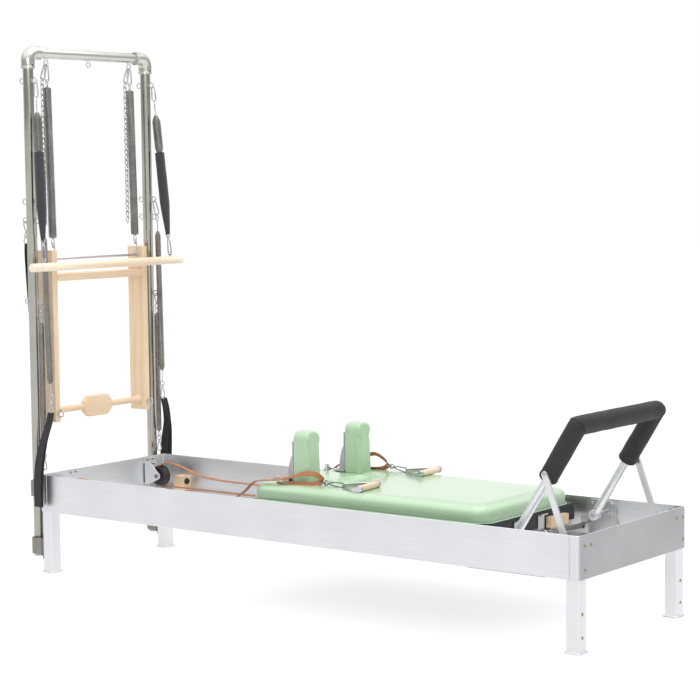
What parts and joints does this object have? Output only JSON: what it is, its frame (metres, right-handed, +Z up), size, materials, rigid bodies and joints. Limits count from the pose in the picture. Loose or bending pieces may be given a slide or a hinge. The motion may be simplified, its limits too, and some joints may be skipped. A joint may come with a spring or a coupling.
{
  "type": "pilates reformer with tower",
  "caption": "Pilates reformer: a long aluminium bed with a sliding padded carriage, a folding footbar and a steel spring tower with a wooden push-through frame.",
  "frame": {"origin": "middle of the base of the bounding box, on the floor", "axes": "+X along the bed towards the footbar end, +Y across the bed, +Z up"},
  "size_m": [2.6364, 0.89, 2.138],
  "materials": {
    "satin_aluminium": "satin anodised extrusion",
    "cast_aluminium": "tumbled casting",
    "stainless_steel": "polished tube",
    "chrome_steel": "bright chrome",
    "spring_steel": "dark oiled wire",
    "black_steel": "black paint",
    "black_fabric": "woven nylon",
    "black_leather": "grained vinyl over foam",
    "sage_vinyl": "smooth sage green vinyl over foam",
    "wood": "clear satin lacquer",
    "dark_plywood": "black painted plywood deck",
    "tan_leather": "oiled tan leather",
    "black_plastic": "moulded"
  },
  "bodies": {
    "bed": {"side_rail_near": "satin_aluminium", "side_rail_far": "satin_aluminium", "end_rail_head": "satin_aluminium", "end_rail_foot": "satin_aluminium", "leg_head_near": "satin_aluminium", "leg_head_far": "satin_aluminium", "leg_foot_near": "satin_aluminium", "leg_foot_far": "satin_aluminium", "stop_block_head_near": "wood", "stop_block_head_far": "wood", "stop_block_foot_near": "wood", "stop_block_foot_far": "wood", "tower_beam": "stainless_steel", "tower_bracket_near": "cast_aluminium", "tower_bracket_far": "cast_aluminium", "tower_upright_near": "stainless_steel", "tower_upright_far": "stainless_steel", "pulley_bracket_near": "satin_aluminium", "pulley_bracket_far": "satin_aluminium", "foot_plate_near": "cast_aluminium", "foot_plate_far": "cast_aluminium", "spring_bar": "black_steel", "carriage_springs": "spring_steel", "leather_strap_near": "tan_leather", "leather_strap_far": "tan_leather"},
    "carriage": {"carriage_frame": "dark_plywood", "carriage_pad": "sage_vinyl", "shoulder_bracket_near": "cast_aluminium", "shoulder_bracket_far": "cast_aluminium", "shoulder_pad_near": "sage_vinyl", "shoulder_pad_far": "sage_vinyl", "handle_near": "wood", "handle_far": "wood"},
    "headrest": {"headrest_pad": "sage_vinyl"},
    "footbar": {"footbar_tube": "satin_aluminium", "footbar_pad": "black_leather"},
    "top_springs": {"top_spring_near": "spring_steel", "top_spring_far": "spring_steel"},
    "hanging_rod": {"hanging_rod": "chrome_steel"},
    "push_frame": {"frame_stile_near": "wood", "frame_stile_far": "wood", "frame_top_rail": "wood", "push_bar": "wood"},
    "roll_springs": {"roll_spring_near": "black_fabric", "roll_spring_far": "black_fabric"},
    "roll_bar": {"roll_bar": "wood"},
    "footbar_strut_near": {"footbar_strut_near": "satin_aluminium"},
    "pulley_near": {"pulley_near": "black_plastic"},
    "wheel_head_near": {"wheel_head_near": "black_plastic"},
    "wheel_foot_near": {"wheel_foot_near": "black_plastic"},
    "arm_spring_near": {"arm_spring_near": "spring_steel", "foot_strap_near": "black_fabric"},
    "leg_spring_near": {"leg_spring_near": "spring_steel"},
    "footbar_strut_far": {"footbar_strut_far": "satin_aluminium"},
    "pulley_far": {"pulley_far": "black_plastic"},
    "wheel_head_far": {"wheel_head_far": "black_plastic"},
    "wheel_foot_far": {"wheel_foot_far": "black_plastic"},
    "arm_spring_far": {"arm_spring_far": "spring_steel", "foot_strap_far": "black_fabric"},
    "leg_spring_far": {"leg_spring_far": "spring_steel"}
  },
  "joints": [
    {"name": "carriage_slide", "type": "slide", "parent": "bed", "child": "carriage", "axis": [-1, 0, 0], "range_m": [0, 0.88], "stiffness_N_per_m": 400, "springref_m": -0.06, "deforming": ["carriage_springs", "leather_strap_near", "leather_strap_far"]},
    {"name": "headrest_tilt", "type": "hinge", "parent": "carriage", "child": "headrest", "pos_m": [0.10475, 0, 0.4473], "axis": [0, 1, 0], "range_deg": [0, 45]},
    {"name": "footbar_fold", "type": "hinge", "parent": "bed", "child": "footbar", "pos_m": [0.99925, 0, 0.355], "axis": [0, 1, 0], "range_deg": [-38, 0]},
    {"name": "top_springs_swing", "type": "hinge", "parent": "bed", "child": "top_springs", "pos_m": [-1.26475, 0, 2.073], "axis": [0, 1, 0], "range_deg": [-2, 25]},
    {"name": "hanging_rod_pull", "type": "slide", "parent": "top_springs", "child": "hanging_rod", "axis": [0, 0, -1], "range_m": [0, 0.19], "stiffness_N_per_m": 300, "springref_m": -0.25, "deforming": ["top_spring_near", "top_spring_far"]},
    {"name": "push_frame_tilt", "type": "hinge", "parent": "hanging_rod", "child": "push_frame", "pos_m": [-1.25175, 0, 1.275], "axis": [0, 1, 0], "range_deg": [-28, 28]},
    {"name": "roll_springs_swing", "type": "hinge", "parent": "bed", "child": "roll_springs", "pos_m": [-1.22575, 0, 1.997], "axis": [0, 1, 0], "range_deg": [-60, 0]},
    {"name": "roll_bar_pull", "type": "slide", "parent": "roll_springs", "child": "roll_bar", "axis": [0.0712, 0, -0.9975], "range_m": [0, 0.35], "stiffness_N_per_m": 250, "springref_m": -0.08, "deforming": ["roll_spring_near", "roll_spring_far"]},
    {"name": "footbar_strut_near_fold", "type": "hinge", "parent": "footbar", "child": "footbar_strut_near", "pos_m": [1.14541, -0.3098, 0.58816], "axis": [0, 1, 0], "range_deg": [-12, 0]},
    {"name": "pulley_near_spin", "type": "hinge", "parent": "bed", "child": "pulley_near", "pos_m": [-1.15075, -0.267, 0.325], "axis": [0, 1, 0], "continuous": true},
    {"name": "wheel_head_near_roll", "type": "hinge", "parent": "carriage", "child": "wheel_head_near", "pos_m": [-0.10575, -0.34, 0.2893], "axis": [0, 1, 0], "range_deg": [-1580, 0]},
    {"name": "wheel_foot_near_roll", "type": "hinge", "parent": "carriage", "child": "wheel_foot_near", "pos_m": [0.70425, -0.34, 0.2893], "axis": [0, 1, 0], "range_deg": [-1580, 0]},
    {"name": "arm_spring_near_swing", "type": "hinge", "parent": "bed", "child": "arm_spring_near", "pos_m": [-1.20575, -0.338, 1.499], "axis": [1, 0, 0], "range_deg": [-8, 0]},
    {"name": "leg_spring_near_swing", "type": "hinge", "parent": "bed", "child": "leg_spring_near", "pos_m": [-1.22575, -0.3435, 1.104], "axis": [1, 0, 0], "range_deg": [0, 5]},
    {"name": "footbar_strut_far_fold", "type": "hinge", "parent": "footbar", "child": "footbar_strut_far", "pos_m": [1.14541, 0.3098, 0.58816], "axis": [0, 1, 0], "range_deg": [-12, 0]},
    {"name": "pulley_far_spin", "type": "hinge", "parent": "bed", "child": "pulley_far", "pos_m": [-1.15075, 0.267, 0.325], "axis": [0, 1, 0], "continuous": true},
    {"name": "wheel_head_far_roll", "type": "hinge", "parent": "carriage", "child": "wheel_head_far", "pos_m": [-0.10575, 0.34, 0.2893], "axis": [0, 1, 0], "range_deg": [-1580, 0]},
    {"name": "wheel_foot_far_roll", "type": "hinge", "parent": "carriage", "child": "wheel_foot_far", "pos_m": [0.70425, 0.34, 0.2893], "axis": [0, 1, 0], "range_deg": [-1580, 0]},
    {"name": "arm_spring_far_swing", "type": "hinge", "parent": "bed", "child": "arm_spring_far", "pos_m": [-1.20575, 0.338, 1.499], "axis": [1, 0, 0], "range_deg": [0, 8]},
    {"name": "leg_spring_far_swing", "type": "hinge", "parent": "bed", "child": "leg_spring_far", "pos_m": [-1.22575, 0.3435, 1.104], "axis": [1, 0, 0], "range_deg": [-5, 0]}
  ],
  "couplings": [
    {"joint": "wheel_head_near_roll", "follows": "carriage_slide", "rad_per_m": -31.25},
    {"joint": "wheel_foot_near_roll", "follows": "carriage_slide", "rad_per_m": -31.25},
    {"joint": "wheel_head_far_roll", "follows": "carriage_slide", "rad_per_m": -31.25},
    {"joint": "wheel_foot_far_roll", "follows": "carriage_slide", "rad_per_m": -31.25}
  ]
}
